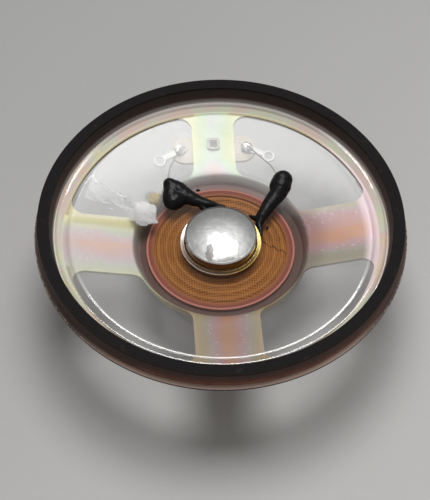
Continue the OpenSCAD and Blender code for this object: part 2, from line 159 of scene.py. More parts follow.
class Finish:
    """A node material whose pattern lies on Object coordinates in millimetres."""

    def __init__(self, name):
        self.material = bpy.data.materials.new(name)
        self.material.use_nodes = True
        self.tree = self.material.node_tree
        self.tree.nodes.clear()
        coordinates = self.node("ShaderNodeTexCoord", out="Object")
        self.place = self.node(
            "ShaderNodeVectorMath", {"operation": "SCALE"}, {0: coordinates, "Scale": 1 / MM}
        )
        self.x = self.node("ShaderNodeSeparateXYZ", {}, {0: self.place}, "X")
        self.y = self.node("ShaderNodeSeparateXYZ", {}, {0: self.place}, "Y")
        self.z = self.node("ShaderNodeSeparateXYZ", {}, {0: self.place}, "Z")
        self.radius = self.away(0, 0)

    def node(self, kind, settings={}, sockets={}, out=0):
        """Adds a node, its settings first, then the values or links of its sockets."""
        made = self.tree.nodes.new(kind)
        for name, value in settings.items():
            if name == "stops":
                ramp = made.color_ramp
                while len(ramp.elements) < len(value):
                    ramp.elements.new(1)
                for element, (position, colour) in zip(ramp.elements, value):
                    element.position = position
                    element.color = (*colour, 1)
            else:
                setattr(made, name, value)
        for name, value in sockets.items():
            if isinstance(value, Signal):
                self.tree.links.new(value.socket, made.inputs[name])
            elif isinstance(value, tuple) and made.inputs[name].type == "RGBA":
                made.inputs[name].default_value = (*value, 1)
            else:
                made.inputs[name].default_value = value
        return Signal(self, made.outputs[out])

    def away(self, x, y):
        """The distance from this spot, seen from the front."""
        right = self.x - x
        back = self.y - y
        return (right * right + back * back) ** 0.5

    def mottle(self, size, detail=2.0, place=None):
        """Noise from 0 to 1 with blotches of this size in millimetres."""
        sockets = {"Vector": place or self.place, "Scale": 1 / size, "Detail": detail}
        return self.node("ShaderNodeTexNoise", {}, sockets, "Fac")

    def step(self, value, low, high):
        """0 below low, 1 above high and a soft step between."""
        sockets = {"Value": value, "From Min": low, "From Max": high}
        return self.node("ShaderNodeMapRange", {"interpolation_type": "SMOOTHSTEP"}, sockets)

    def within(self, near, far):
        """1 inside the radius near, 0 beyond the radius far and a soft step between."""
        return self.step(-self.radius, -far, -near)

    def beyond(self, near, far):
        """The other way round: 0 inside near and 1 beyond far."""
        return self.step(self.radius, near, far)

    def blend(self, factor, first, second):
        """Mixes two colours."""
        return self.node(
            "ShaderNodeMix", {"data_type": "RGBA"}, {0: factor, 6: first, 7: second}, 2
        )

    def layered(self, tone, *layers):
        """Lays colours over a tone, each as far as its mask says."""
        for mask, colour in layers:
            tone = self.blend(mask, tone, colour)
        return tone

    def ramp(self, value, stops):
        """Turns a value into a colour, by stops of (position, colour)."""
        return self.node("ShaderNodeValToRGB", {"stops": stops}, {0: value})

    def stretched(self, scales):
        """Coordinates on which blotches come out long where a scale is small."""
        return self.node(
            "ShaderNodeVectorMath", {"operation": "MULTIPLY"}, {0: self.place, 1: scales}
        )

    def bump(self, height, depth):
        """A relief of this depth in millimetres."""
        return self.node("ShaderNodeBump", {}, {"Height": height, "Distance": depth * MM})

    def paint(self, **values):
        """The shader itself; Base_Color stands for the socket Base Color."""
        sockets = {name.replace("_", " "): value for name, value in values.items()}
        shader = self.node("ShaderNodeBsdfPrincipled", {}, sockets)
        surface = self.tree.nodes.new("ShaderNodeOutputMaterial")
        self.tree.links.new(shader.socket, surface.inputs[0])

    def dress(self, piece):
        """Gives a piece this material alone."""
        piece.data.materials.clear()
        piece.data.materials.append(self.material)


def set_down():
    """Leaves edit mode with nothing selected."""
    if bpy.context.mode != "OBJECT":
        bpy.ops.object.mode_set(mode="OBJECT")
    bpy.ops.object.select_all(action="DESELECT")


set_down()
bpy.ops.mesh.primitive_plane_add(size=TABLE_WIDTH)
table = bpy.context.object
table.name = "table_top"
grey = Finish("table_grey")
cloud = grey.mottle(60, 3.0)
speck = grey.mottle(1.2, 3.0)
# The table is painted lighter towards the front right and darker towards the back left: painted
# light falloff.
painted_light_falloff = grey.step(grey.x * 0.6 - grey.y * 0.8, -130, 130)
table_shade = painted_light_falloff + (cloud - 0.5) * 0.12 + (speck - 0.5) * 0.1
table_tone = grey.ramp(
    table_shade, [(0.0, (0.325, 0.324, 0.322)), (1.0, (0.495, 0.488, 0.475))]
)
scratch = grey.mottle(0.5, 2.0, grey.stretched((0.06, 1, 1)))
grey.paint(Base_Color=table_tone, Roughness=0.6, Normal=grey.bump(scratch, 0.004))
grey.dress(table)

# Basket
# A frame of 0.7 mm steel sheet, pressed in one stroke and pierced with four windows, with a
# yellow passivate whose thin coat shines in yellow, green and pink from the edges inwards.
SHEET = 0.7
RIDGE_BEND = 0.8
VALLEY_BEND = 0.5
FLANGE_R = 38.5
DISH_OUT_R = 33.0
DISH_IN_R = 18.2
FLANGE_Z = 20.5
DISH_OUT_Z = 19.15
DISH_IN_Z = 15.7
STEP_R = 34.4
SEAT_OUT_R = 17.3
SEAT_IN_R = 13.4
SEAT_Z = 13.25
HUB_R = 12.5
HUB_HOLE_R = 7.85
HUB_Z = 11.3
EDGE_ROUND = 0.12
WINDOW_OUT_R = 32.5
WINDOW_IN_R = 18.6
WINDOW_CORNER = 2.6
SIDE_LEG = 7.3
TERMINAL_LEG = 4.55
FRONT_LEG = 6.8


def arc(centre, radius, start, end, steps):
    """Points on an arc, with its angles in degrees."""
    turns = [math.radians(start + (end - start) * i / steps) for i in range(steps + 1)]
    return [
        (centre[0] + radius * math.cos(t), centre[1] + radius * math.sin(t)) for t in turns
    ]


def rounded(points, steps=6, closed=False):
    """A line through points (a, b, corner radius) with its corners rounded."""
    line = []
    count = len(points)
    for i, point in enumerate(points):
        corner = Vector(point[:2])
        if len(point) < 3 or (not closed and i in (0, count - 1)):
            line.append(tuple(corner))
            continue
        before = (Vector(points[i - 1][:2]) - corner).normalized()
        after = (Vector(points[(i + 1) % count][:2]) - corner).normalized()
        half = before.angle(after) / 2
        middle = corner + (before + after).normalized() * point[2] / math.sin(half)
        start = corner + before * point[2] / math.tan(half) - middle
        end = corner + after * point[2] / math.tan(half) - middle
        turn = start.angle_signed(end)
        for k in range(steps + 1):
            a = -turn * k / steps
            line.append(
                (
                    middle.x + start.x * math.cos(a) - start.y * math.sin(a),
                    middle.y + start.x * math.sin(a) + start.y * math.cos(a),
                )
            )
    return line


def thick(line, thickness):
    """The outline of a sheet that lies on the left of a line."""
    other = []
    for i, point in enumerate(line):
        ahead = Vector(line[min(i + 1, len(line) - 1)]) - Vector(point)
        behind = Vector(point) - Vector(line[max(i - 1, 0)])
        sides = [Vector((-d.y, d.x)).normalized() for d in (behind, ahead) if d.length > 1e-9]
        a, b = sides[0], sides[-1]
        move = (a + b) * thickness / (1 + a.dot(b))
        other.append((point[0] + move.x, point[1] + move.y))
    return line + other[::-1]


def drawn(name, points, across="XZ"):
    """A closed line drawn point by point; across names the axes of its two numbers."""
    set_down()
    axes = ["XYZ".index(axis) for axis in across]

    def spot(pair):
        place = [0.0, 0.0, 0.0]
        place[axes[0]] = pair[0] * MM
        place[axes[1]] = pair[1] * MM
        return Vector(place)

    bpy.ops.mesh.primitive_plane_add(size=MM)
    piece = bpy.context.object
    piece.name = name
    bpy.ops.object.mode_set(mode="EDIT")
    bpy.ops.mesh.merge(type="CENTER")
    bpy.ops.transform.translate(value=spot(points[0]))
    ring = list(points) + [points[0]]
    for here, there in zip(ring, ring[1:]):
        bpy.ops.mesh.extrude_vertices_move(
            TRANSFORM_OT_translate={"value": spot(there) - spot(here)}
        )
    bpy.ops.mesh.select_all(action="SELECT")
    bpy.ops.mesh.remove_doubles(threshold=1e-7)
    return piece


def turned(name, outline, steps=256):
    """Spins a closed outline of (radius, height) round the speaker's axis."""
    piece = drawn(name, outline)
    bpy.ops.mesh.spin(
        steps=steps, angle=2 * math.pi, use_auto_merge=True, center=(0, 0, 0), axis=(0, 0, 1)
    )
    bpy.ops.mesh.select_all(action="SELECT")
    bpy.ops.mesh.remove_doubles(threshold=1e-7)
    bpy.ops.mesh.normals_make_consistent(inside=False)
    return piece


def pick(piece):
    """Selects one piece alone and makes it the active one."""
    set_down()
    piece.select_set(True)
    bpy.context.view_layer.objects.active = piece


def modified(piece, kind, **settings):
    """Gives a piece a modifier with these settings and applies it."""
    pick(piece)
    bpy.ops.object.modifier_add(type=kind)
    added = piece.modifiers[-1]
    for name, value in settings.items():
        setattr(added, name, value)
    bpy.ops.object.modifier_apply(modifier=added.name)


def smooth(piece, angle):
    """Shades a piece smooth, but for edges sharper than this angle in degrees."""
    pick(piece)
    bpy.ops.object.shade_smooth_by_angle(angle=math.radians(angle))


def cut(piece, cutter):
    """Takes the cutter's shape out of a piece."""
    modified(piece, "BOOLEAN", operation="DIFFERENCE", solver="EXACT", object=cutter)
    bpy.data.objects.remove(cutter)


def plate(name, outline, low, high):
    """A flat plate of an outline of (x, y), from one height to another."""
    piece = drawn(name, outline, "XY")
    bpy.ops.mesh.edge_face_add()
    bpy.ops.transform.translate(value=(0, 0, low * MM))
    bpy.ops.mesh.extrude_region_move(TRANSFORM_OT_translate={"value": (0, 0, (high - low) * MM)})
    bpy.ops.mesh.select_all(action="SELECT")
    bpy.ops.mesh.normals_make_consistent(inside=False)
    set_down()
    return piece


def window(leg, side):
    """One window between the leg edges x = leg and y = side, with rounded corners."""
    r, out_r, in_r = WINDOW_CORNER, WINDOW_OUT_R, WINDOW_IN_R
    y1 = math.sqrt((in_r + r) ** 2 - (leg + r) ** 2)
    y2 = math.sqrt((out_r - r) ** 2 - (leg + r) ** 2)
    x3 = math.sqrt((out_r - r) ** 2 - (side + r) ** 2)
    x4 = math.sqrt((in_r + r) ** 2 - (side + r) ** 2)
    t1, t2 = [math.degrees(math.atan2(y, leg + r)) for y in (y1, y2)]
    t3, t4 = [math.degrees(math.atan2(side + r, x)) for x in (x3, x4)]
    return (
        arc((leg + r, y1), r, 180 + t1, 180, 8)
        + arc((leg + r, y2), r, 180, t2, 8)
        + arc((0, 0), out_r, t2, t3, 40)[1:-1]
        + arc((x3, side + r), r, t3, -90, 8)
        + arc((x4, side + r), r, -90, t4 - 180, 8)
        + arc((0, 0), in_r, t4, t1, 16)[1:-1]
    )


basket_face = rounded(
    [
        (FLANGE_R, FLANGE_Z),
        (STEP_R, FLANGE_Z, RIDGE_BEND),
        (DISH_OUT_R, DISH_OUT_Z, VALLEY_BEND),
        (DISH_IN_R, DISH_IN_Z, RIDGE_BEND),
        (SEAT_OUT_R, SEAT_Z, VALLEY_BEND),
        (SEAT_IN_R, SEAT_Z, RIDGE_BEND),
        (HUB_R, HUB_Z, VALLEY_BEND),
        (HUB_HOLE_R, HUB_Z),
    ]
)
sheet = thick(basket_face, SHEET)
count = len(basket_face)
sheet_ends = {0, count - 1, count, 2 * count - 1}
basket_outline = rounded(
    [(*p, EDGE_ROUND) if i in sheet_ends else p for i, p in enumerate(sheet)], 3, True
)
basket = turned("basket_sheet", basket_outline, 288)
for back, leg in ((1, TERMINAL_LEG), (-1, FRONT_LEG)):
    for right in (1, -1):
        hole = [(right * x, back * y) for x, y in window(leg, SIDE_LEG)]
        cut(basket, plate("window", hole, 0, 30))
smooth(basket, 30)

coat = Finish("yellow_passivate")
leg_half = TERMINAL_LEG + coat.step(-coat.y, -0.5, 0.5) * (FRONT_LEG - TERMINAL_LEG)
from_windows = (
    (leg_half - abs(coat.x))
    .most(SIDE_LEG - abs(coat.y))
    .most(coat.radius - WINDOW_OUT_R)
    .most(WINDOW_IN_R - coat.radius)
)
blotch = coat.mottle(7, 2.0)
fine = coat.mottle(0.7, 3.0)
to_right = coat.x / coat.radius
to_back = coat.y / coat.radius
across = 0.122 + 0.017 * to_right - 0.03 * to_back
by_hub = coat.within(19, 23) * coat.step(to_back, 0.5, 0.8)
left_leg, right_leg, front_leg_shade = [
    coat.step(way, 0.6, 0.9) for way in (-to_right, to_right, -to_back)
]
aslant = left_leg * coat.step(-coat.y, -1, 6) * 0.18
aslant = aslant + right_leg * coat.step(coat.y, 1, 6) * 0.25
order = from_windows.most(0) * across + (blotch - 0.5) * 0.5 + (fine - 0.5) * 0.05
order = order + by_hub * 0.35 + aslant
rainbow = coat.ramp(
    order,
    [
        (0.00, (0.48, 0.45, 0.26)),
        (0.10, (0.44, 0.42, 0.20)),
        (0.24, (0.36, 0.41, 0.26)),
        (0.40, (0.37, 0.40, 0.34)),
        (0.54, (0.43, 0.33, 0.36)),
        (0.70, (0.47, 0.29, 0.29)),
        (0.90, (0.53, 0.28, 0.15)),
    ],
)
left_upper = left_leg * coat.step(coat.y, 3, 6.5)
right_inner = right_leg * coat.within(19, 24)
right_lower = right_leg * coat.step(-coat.y, 2, 7)
right_outer = right_leg * coat.beyond(WINDOW_OUT_R - 3, WINDOW_OUT_R - 1)
# Pale specks on the passivate's middle bands are painted glints of its crystals.
crystal_glints = coat.step(coat.mottle(0.55, 2.0), 0.58, 0.7)
middle_bands = coat.step(order, 0.3, 0.45) * coat.step(-order, -0.75, -0.6)
in_seat = -coat.radius - abs(to_right) * 0.7
in_seat = coat.step(in_seat, -DISH_IN_R - 0.8, -DISH_IN_R + 0.8)
at_back = coat.step(to_back, 0.4, 0.8)
seat_tone = coat.blend(at_back, (0.085, 0.038, 0.027), (0.23, 0.155, 0.14))
# A thin brown line along the windows' outer edges is painted shadow.
window_edge_shadow = coat.beyond(WINDOW_OUT_R - 0.4, WINDOW_OUT_R - 0.2)
window_edge_shadow = window_edge_shadow * coat.step(-from_windows, -1.0, -0.5)
on_step = coat.beyond(DISH_OUT_R - 0.3, DISH_OUT_R + 0.1)
# The step's pale pearly colours are partly the passivate's own and partly painted sheen of the
# metal there.
step_pearl_and_sheen = coat.ramp(
    blotch,
    [
        (0.26, (0.96, 0.77, 0.52)),
        (0.42, (0.94, 0.73, 0.66)),
        (0.58, (0.84, 0.86, 0.68)),
        (0.76, (0.93, 0.86, 0.55)),
    ],
)
# The step is painted darker at the back, as painted shadow of the rim ring's wall.
back_step_shadow = coat.beyond(STEP_R - 0.7, STEP_R - 0.4) * at_back
upper_edge = coat.step(coat.z, FLANGE_Z - 0.3, FLANGE_Z - 0.1)
# The flange's edge past the ring is dark, but painted light at the front, where it lies in the
# ring's shade.
front_edge_painted_light = coat.step(-to_back, 0.55, 0.9) * upper_edge
flange_edge_tone_and_light = coat.blend(front_edge_painted_light, (0.055, 0.032, 0.024), (0.50, 0.36, 0.29))
past_ring = coat.beyond(FLANGE_R - 1.0, FLANGE_R - 0.7)
on_edge = coat.beyond(FLANGE_R - 0.25, FLANGE_R - 0.1)
chips = coat.step(coat.mottle(0.6, 5.0), 0.42, 0.6) * on_edge * upper_edge
sheet_tone = coat.layered(
    rainbow,
    # The front leg is painted darker, as painted shade: it leans back, away from the light.
    (front_leg_shade * 0.5, (0.25, 0.10, 0.06)),
    (left_leg * 0.32, (0.75, 0.70, 0.64)),
    (left_upper * 0.6, (0.86, 0.80, 0.42)),
    (right_leg * 0.3, (0.42, 0.18, 0.13)),
    (right_inner * 0.6, (0.20, 0.09, 0.085)),
    (right_lower * 0.6, (0.10, 0.10, 0.07)),
    (crystal_glints * middle_bands * 0.3, (0.72, 0.70, 0.68)),
    (at_back * 0.28, (0.24, 0.36, 0.27)),
    (in_seat, seat_tone),
    (window_edge_shadow * 0.55, (0.26, 0.17, 0.10)),
    (right_outer * 0.7, (0.95, 0.76, 0.83)),
    (on_step, step_pearl_and_sheen),
    (back_step_shadow * 0.65, (0.17, 0.11, 0.095)),
    (past_ring, flange_edge_tone_and_light),
    (chips * 0.6, (0.55, 0.43, 0.36)),
)
coat.paint(
    Base_Color=sheet_tone,
    Metallic=0.7 - on_step * 0.55 - in_seat * 0.5,
    Roughness=0.52 + fine * 0.1 + in_seat * 0.15,
    Normal=coat.bump(coat.mottle(0.35, 3.0), 0.01),
)
coat.dress(basket)
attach(basket, "frame")
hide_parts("basket")

# Rim ring
# A ring of red-brown fibre board, die-cut in layers and glued on the flange to seat the
# speaker on a panel, with a facing of black paper whose edges are slightly worn.
RING_R = 37.75
RING_IN_R = 35.3
RING_FOOT_R = 34.6
RING_Z = 20.65
FRONT_Z = 24.5
FACING = 0.5
FACING_ROUND = 0.12
LAYERS = 4
SEAM = 0.05
SEAM_LIP = 0.06

board_top = FRONT_Z - FACING
outer_wall = []
for i in range(LAYERS):
    low = RING_Z + (board_top - RING_Z) * i / LAYERS
    high = RING_Z + (board_top - RING_Z) * (i + 1) / LAYERS
    outer_wall += [(RING_R - SEAM, low), (RING_R, low + SEAM_LIP)]
    outer_wall += [(RING_R, high - SEAM_LIP), (RING_R - SEAM, high - 0.001)]
ring = turned("fibre_ring", outer_wall + [(RING_IN_R, board_top), (RING_FOOT_R, RING_Z)])
smooth(ring, 40)
fibre = Finish("fibre_board")
lift = fibre.step(fibre.z, RING_Z, FRONT_Z)
strands = fibre.mottle(0.5, 4.0, fibre.stretched((1, 1, 6)))
clots = fibre.mottle(3.5, 3.0)
fibre_tone = fibre.ramp(
    lift + (clots - 0.5) * 0.5,
    [
        (0.0, (0.26, 0.10, 0.065)),
        (0.22, (0.11, 0.036, 0.022)),
        (0.45, (0.085, 0.025, 0.014)),
        (1.0, (0.025, 0.013, 0.009)),
    ],
)
# The fibre is painted darker on the left side, as painted shade.
left_side_shade = fibre.step(-fibre.x, 8, 26) * fibre.step(-fibre.y, -6, 6)
fuzz = fibre.step(strands, 0.58, 0.75) * fibre.step(-lift, -0.6, 0)
inner_wall = fibre.within(RING_IN_R + 0.3, RING_IN_R + 1.1)
# A pale grey band at the foot of the inner wall is painted sheen of the film's roll in front of it.
wall_foot_sheen = inner_wall * fibre.step(-fibre.z, -RING_Z - 1.25, -RING_Z - 0.45)
fibre_tone = fibre.layered(
    fibre_tone,
    (left_side_shade * 0.7, (0.018, 0.009, 0.006)),
    (fuzz * 0.6, (0.32, 0.13, 0.10)),
    (inner_wall * 0.75, (0.022, 0.013, 0.010)),
    (wall_foot_sheen * 0.8, (0.34, 0.31, 0.30)),
)
fibre.paint(Base_Color=fibre_tone, Roughness=0.72, Normal=fibre.bump(strands + clots, 0.05))
fibre.dress(ring)
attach(ring, "frame")
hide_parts("rim_ring")


def band(name, in_r, out_r, low, high, corner, steps):
    """A flat ring whose two upper edges are rounded."""
    section = [(out_r, low), (out_r, high, corner), (in_r, high, corner), (in_r, low)]
    return turned(name, rounded(section, steps))


facing = band("black_facing", RING_IN_R, RING_R, board_top, FRONT_Z, FACING_ROUND, 4)
smooth(facing, 40)
paper = Finish("black_paper")
grain = paper.mottle(0.25, 4.0)
rub = paper.step(paper.mottle(2.2, 5.0), 0.6, 0.75)
edge_wear = paper.step(abs(paper.radius - (RING_R + RING_IN_R) / 2), 1.05, 1.2)
paper_tone = paper.blend(grain, (0.006, 0.0055, 0.0055), (0.017, 0.015, 0.015))
paper_tone = paper.blend(rub * 0.4 + edge_wear * 0.15, paper_tone, (0.045, 0.034, 0.030))
outer_side = paper.beyond(RING_R - 0.09, RING_R - 0.01)
paper_tone = paper.blend(outer_side * 0.8, paper_tone, (0.045, 0.026, 0.018))
paper.paint(
    Base_Color=paper_tone,
    Roughness=0.75 + grain * 0.15,
    Normal=paper.bump(grain, 0.03),
    Specular_IOR_Level=0.1,
)
paper.dress(facing)
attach(facing, "frame")
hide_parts("rim_facing")

# Film diaphragm
# One sheet of clear polyester, formed hot into a cone with a half-round roll at its edge.
# The flat edge is clamped under the rim ring, and the cone is glued to the collar's foot.
# Use has left a long fold at the left, a scuffed patch at its end and a wiped middle.
FILM = 0.15
FILM_IOR = 1.35
CLAMP_R = 37.2
ROLL_IN_R = 31.4
CREST_R = 33.5
ROLL_H = 1.5
CONE_DROP = 0.25
CONE_OUT_Z = RING_Z - CONE_DROP
CONE_FLAT_R = 30.2
COLLAR_R = 8.5
COLLAR_Z = 15.9
CONE_HOLE_R = 7.9
CONE_RISE = (CONE_OUT_Z - COLLAR_Z) / (ROLL_IN_R - COLLAR_R)
GLUE_GAP = 0.02
DAB_SEEN_AT = (-13.9, 11.3)
WIPED_AT = (0, -2.5)
PATCH_AT = (-15.6, 7.2)
PATCH_R = 2.85
FOLD_AXIS = (0.542, 0.84)
FOLD_OUT = 1.64


def cone_z(r):
    """Height of the film's face on the cone."""
    return CONE_OUT_Z - (ROLL_IN_R - r) * CONE_RISE


def lumpy(piece, size, depth, along="NORMAL"):
    """Presses lumps of this size and depth into a piece, by its place."""
    lumps = bpy.data.textures.new("lumps", "CLOUDS")
    lumps.noise_scale = size * MM
    modified(piece, "DISPLACE", texture=lumps, direction=along, strength=depth * MM)


film_face = []
for i in range(61):
    r = CONE_HOLE_R + (CONE_FLAT_R - CONE_HOLE_R) * i / 60
    film_face.append((r, cone_z(r)))
lip = [(30.6, 0.03), (30.9, 0.055), (31.15, 0.055), (31.32, 0.0), (31.42, -0.03)]
film_face += [(r, cone_z(r) + rise) for r, rise in lip]
roll_out_r = RING_FOOT_R - FILM - GLUE_GAP
for i in range(1, 31):
    a = math.radians(180 - 6 * i)
    run = CREST_R - ROLL_IN_R - 0.1 if i < 15 else roll_out_r - CREST_R
    sink = CONE_DROP * (1 - math.cos(a)) / 2
    film_face.append((CREST_R + run * math.cos(a), RING_Z + ROLL_H * math.sin(a) - sink))
film_face.append((CLAMP_R, RING_Z))
film = turned("film_diaphragm", thick(film_face[::-1], FILM), 320)
lumpy(film, 9, 0.09, "Z")
lumpy(film, 2.4, 0.018, "Z")
smooth(film, 40)

# The film mirrors the light by its angle (shine) and scatters some of it (haze). Both
# together are its cover, and the rest passes through.
clear = Finish("clear_polyester")
from_inside = clear.node("ShaderNodeNewGeometry", out="Backfacing")
film_ior = FILM_IOR + from_inside * (1 / FILM_IOR - FILM_IOR)
mirrored = clear.node("ShaderNodeFresnel", {}, {"IOR": film_ior})
smear = clear.step(clear.mottle(9, 4.0), 0.35, 0.75)
dust = clear.step(clear.mottle(0.35, 2.0), 0.7, 0.8)
crinkle = clear.mottle(5, 3.0)
fold_way = clear.x * FOLD_AXIS[0] + clear.y * FOLD_AXIS[1] + FOLD_OUT
fold_way = fold_way + (clear.mottle(3, 3.0) - 0.5) * 3
creased = clear.step(-clear.x, 9, 14) * clear.within(25, 29)
creased = creased * clear.step(-abs(fold_way + 0.6), -2.6, -0.4)
creases = abs(clear.mottle(1.3, 4.0) - 0.5) * creased
middle = clear.within(16.0, 18.6) * 0.65 + clear.within(13.2, 16.2) * 0.35
over_dab = clear.step(-clear.away(*DAB_SEEN_AT), -1.9, -1.2)
middle = middle.most(over_dab * 0.55)
on_roll = clear.beyond(ROLL_IN_R - 0.4, ROLL_IN_R - 0.1)
front = clear.step(-clear.y / clear.radius, 0.1, 0.6)
# A thin white line of haze on the lip at the front is a painted highlight.
lip_highlight_line = clear.beyond(ROLL_IN_R - 0.5, ROLL_IN_R - 0.25)
lip_highlight_line = lip_highlight_line * clear.within(ROLL_IN_R + 0.1, ROLL_IN_R + 0.35)
back_roll = on_roll * clear.step(clear.y / clear.radius, 0.35, 0.8)
rubbed = clear.step(clear.x * 0.7 + clear.y * 0.7, 12, 21) * (1 - on_roll)
below_fold = clear.step(-fold_way, -0.2, 0.4) * clear.step(-clear.x, 12, 15) * (1 - on_roll)
shine = mirrored * (1 + on_roll * 1.5 - back_roll * 1.9) * (1 - middle * 0.96)
shine = shine * (1 - below_fold * 0.9)
shine = shine.least(0.112 + on_roll * (0.08 + front * 0.2) - back_roll * 0.14)
wiped = clear.step(-clear.away(*WIPED_AT), -19, -17)
front_sides = clear.step(abs(clear.x), 13, 22) * clear.step(-clear.y, 5, 12)
fold = clear.step(-abs(fold_way), -1.1, -0.3) * clear.step(-clear.x, 12, 15)
fold = fold * clear.step(clear.x, -28, -25)
flecks = fold * clear.step(clear.mottle(0.9, 2.0), 0.56, 0.62)
in_window = clear.step(clear.y, 4.8, 5.6)
ruffle = clear.mottle(1.6, 4.0)
patch = clear.step(PATCH_R - clear.away(*PATCH_AT) + (ruffle - 0.5) * 3.4, 0, 0.25)
wrinkles = clear.step(-abs(ruffle - 0.5), -0.02, -0.005) * patch
haze = 0.025 + smear * 0.02 + clear.beyond(20, 23) * 0.018 + front_sides * 0.085
haze = haze * (1 - wiped * 0.85) * (1 - on_roll * 0.6) + dust * 0.04
haze = haze + below_fold * in_window * 0.2 + lip_highlight_line * front * 0.3
haze = haze + flecks * 0.22 + patch * 0.55 + wrinkles * 0.12
clear.paint(
    Base_Color=clear.blend(patch, (0.97, 0.97, 0.965), (0.57, 0.55, 0.555)),
    Metallic=shine / (shine + haze),
    Roughness=0.035 + smear * 0.03 + middle * 0.1 + rubbed * 0.25 + back_roll * 0.3,
    Alpha=shine + haze,
    Normal=clear.bump(crinkle + creases + patch * ruffle * 0.3, 0.05),
)
clear.dress(film)
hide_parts("surround", "cone")
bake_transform(film)

# Collar
# The flared top of the voice coil former, golden polyimide film with a glossy amber
# adhesive, creased a little where it was pressed down on the cone.
CAP_R = 7.4
FORMER_R = 6.95
FORMER_TOP = 18.3
FOOT = 0.25


def foot_z(r):
    """Height of the collar's foot, which lies on the cone."""
    return cone_z(r) + GLUE_GAP + FOOT


collar_outline = rounded(
    [
        (FORMER_R + GLUE_GAP, FORMER_TOP),
        (CAP_R, FORMER_TOP, 0.08),
        (CAP_R, foot_z(CAP_R), 0.35),
        (COLLAR_R, foot_z(COLLAR_R), 0.1),
        (COLLAR_R, COLLAR_Z + GLUE_GAP),
        (FORMER_R + GLUE_GAP, cone_z(FORMER_R) + GLUE_GAP),
    ],
    8,
)
collar = turned("golden_collar", collar_outline, 256)
smooth(collar, 40)
gold = Finish("golden_polyimide")
crimp = gold.mottle(0.5, 3.0, gold.stretched((1, 1, 0.2)))
amber = gold.mottle(2.5, 2.0)
on_foot = gold.beyond(CAP_R + 0.2, CAP_R + 0.4)
neck_tone = gold.blend(amber, (0.10, 0.036, 0.006), (0.26, 0.125, 0.028))
# The foot's colour is painted reflection: a white highlight at the back left, a yellow one at the
# back right, darker towards the front.
foot_white_highlight = gold.blend(gold.step(gold.y, 0, 4), (0.38, 0.32, 0.27), (0.88, 0.83, 0.74))
foot_yellow_highlight = gold.blend(gold.step(-gold.y, 1, 5), (0.66, 0.55, 0.20), (0.36, 0.25, 0.08))
foot_painted_highlights = gold.blend(gold.step(gold.x, -3, 4), foot_white_highlight, foot_yellow_highlight)
gold.paint(
    Base_Color=gold.blend(on_foot, neck_tone, foot_painted_highlights),
    Metallic=0.85,
    Roughness=0.10 + crimp * 0.08 + on_foot * 0.22,
    Normal=gold.bump(crimp, 0.03),
    Coat_Weight=0.5 - on_foot * 0.3,
    Coat_Roughness=0.05,
)
gold.dress(collar)
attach(collar, "cone_assembly")
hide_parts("collar")

# Dust cap
# A shallow dome of silvered film, pressed and glued on the former's shoulder: satin
# metal under a clear gloss, with a few soft dents and fine streaks towards its rim. Two
# dark reflections are painted at the front, where the gloss is taken off too.
CAP_H = 1.3
CAP = 0.2
CAP_LIP = 0.45
CAP_OVER = 0.15

lip_r = CAP_R + CAP_OVER
ball_foot = lip_r - CAP_LIP
ball_r = (ball_foot**2 + CAP_H**2) / (2 * CAP_H)
ball_a = math.degrees(math.asin(ball_foot / ball_r))
dome_top = arc((0, FORMER_TOP + CAP + CAP_H - ball_r), ball_r, 90 - ball_a, 90, 40)
dome_under = arc((0, FORMER_TOP + CAP_H - ball_r), ball_r, 90, 90 - ball_a, 40)
dome = turned(
    "silver_dome",
    rounded([(lip_r, FORMER_TOP), (lip_r, FORMER_TOP + CAP, 0.08), dome_top[0]], 4)
    + dome_top[1:]
    + dome_under,
    256,
)
lumpy(dome, 3.0, 0.10, "Z")
lumpy(dome, 1.1, 0.02, "Z")
smooth(dome, 40)
silver = Finish("silvered_film")
angle_round = silver.node("ShaderNodeMath", {"operation": "ARCTAN2"}, {0: silver.y, 1: silver.x})
ray_place = silver.node("ShaderNodeCombineXYZ", {}, {0: angle_round * 9, 1: silver.radius * 0.25})
rays = silver.mottle(1, 3.0, ray_place)
satin = silver.mottle(2.5, 3.0)
# The dome's lip is painted dark, as painted shade of the gap at its edge.
lip_painted_shade = silver.beyond(ball_foot - 0.1, ball_foot + 0.05)
silver_tone = silver.blend(rays, (0.33, 0.33, 0.325), (0.47, 0.47, 0.46))
edge_noise = (silver.mottle(0.9, 3.0) - 0.5) * 1.8


def dark_reflection_spot(x, y, wide, long):
    """A patch with a ragged edge, painted dark as a reflection, where the gloss is taken off."""
    across = (silver.x - x) / wide
    along = (silver.y - y) / long
    return silver.step(1 - (across * across + along * along) ** 0.5 + edge_noise, 0, 0.2)


# Two dark patches at the front are painted reflections, and the gloss is taken off there.
painted_dark_reflections = dark_reflection_spot(-2.7, -5.0, 1.0, 2.1).most(dark_reflection_spot(1.0, -7.2, 5.5, 1.3) * 0.75)
silver_tone = silver.blend(painted_dark_reflections * 0.75, silver_tone, (0.12, 0.115, 0.11))
silver.paint(
    Base_Color=silver.blend(lip_painted_shade, silver_tone, (0.09, 0.085, 0.08)),
    Metallic=1.0,
    Roughness=0.42 + satin * 0.08,
    Normal=silver.bump(rays, 0.02),
    Coat_Weight=(1 - lip_painted_shade * 0.8) * (1 - painted_dark_reflections * 0.92),
    Coat_Roughness=0.04,
)
silver.dress(dome)
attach(dome, "cone_assembly")
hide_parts("dust_cap")

# Suspension disc
# A disc of resin-dipped woven cloth, pressed into rings of waves. Its flat edge is glued on
# the basket's seat and its middle, turned up as a short neck, on the voice coil former.
DISC_R = 15.6
DISC_EDGE = 1.7
DISC = 0.3
NECK = 1.5
WAVE_H = 0.5
WAVES = 4
WAVE_OUT_R = DISC_R - DISC_EDGE
WAVE_IN_R = FORMER_R + 0.3
THREAD = 0.5
CRACK_AT = (12, -1)
CRACK_FALL = 0.63

